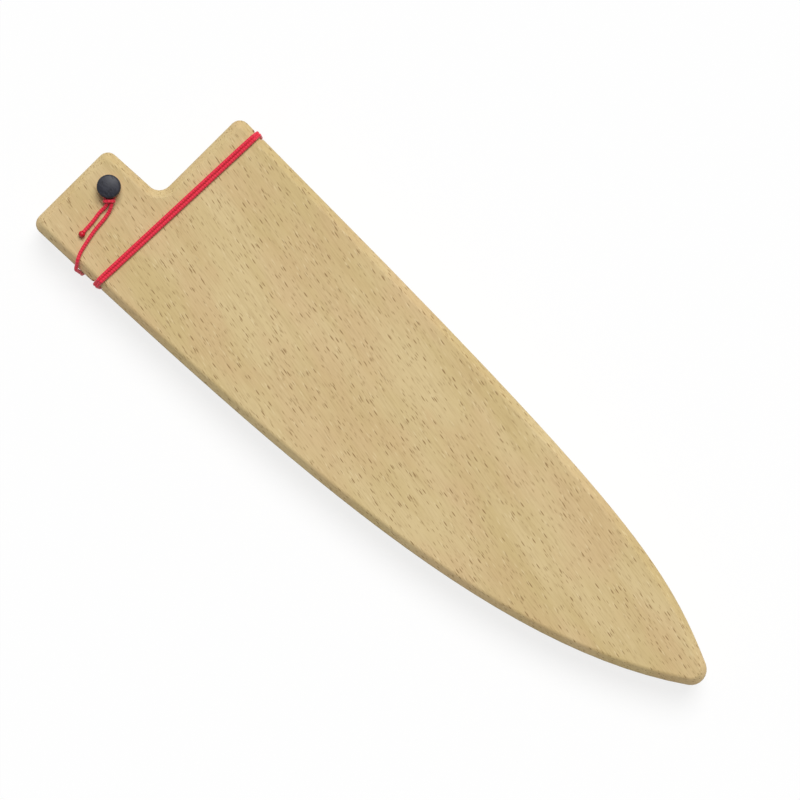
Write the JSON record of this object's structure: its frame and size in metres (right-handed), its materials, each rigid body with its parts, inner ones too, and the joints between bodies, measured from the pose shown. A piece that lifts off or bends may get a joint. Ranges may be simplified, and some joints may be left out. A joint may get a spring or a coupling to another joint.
{
  "type": "knife blade guard",
  "caption": "Flat wooden guard for a chef's knife blade, with a slot between two cheeks, a handle notch, and a turned locking pin on a wound red cord.",
  "frame": {"origin": "middle of the object's footprint, on the surface that it lies on, under its back face", "axes": "+X towards the tip, +Y towards the spine edge, +Z out of the front face, the side with the pin's head"},
  "size_m": [0.227, 0.0651, 0.0199],
  "materials": {
    "beech": "bare, sanded beech with short flecks",
    "beech_strip": "bare, sanded beech edge",
    "dark_pin": "dark stained, satin, fine cracks",
    "red_cord": "tight braid"
  },
  "bodies": {
    "guard": {"front_cheek": "beech", "back_cheek": "beech", "spine_spacer": "beech_strip", "belly_spacer": "beech_strip", "cord_winding": "red_cord", "pin_leash": "red_cord"},
    "hitch": {"pin_hitch": "red_cord", "cord_tail": "red_cord"},
    "pin": {"locking_pin": "dark_pin"}
  },
  "joints": [
    {"name": "pin_pull", "type": "slide", "parent": "guard", "child": "hitch", "axis": [0, 0, 1], "range_m": [0, 0.016], "deforming": ["pin_leash"]},
    {"name": "pin_turn", "type": "hinge", "parent": "hitch", "child": "pin", "pos_m": [-0.105, -0.00903, 0.0152], "axis": [0, 0, 1], "continuous": true}
  ]
}
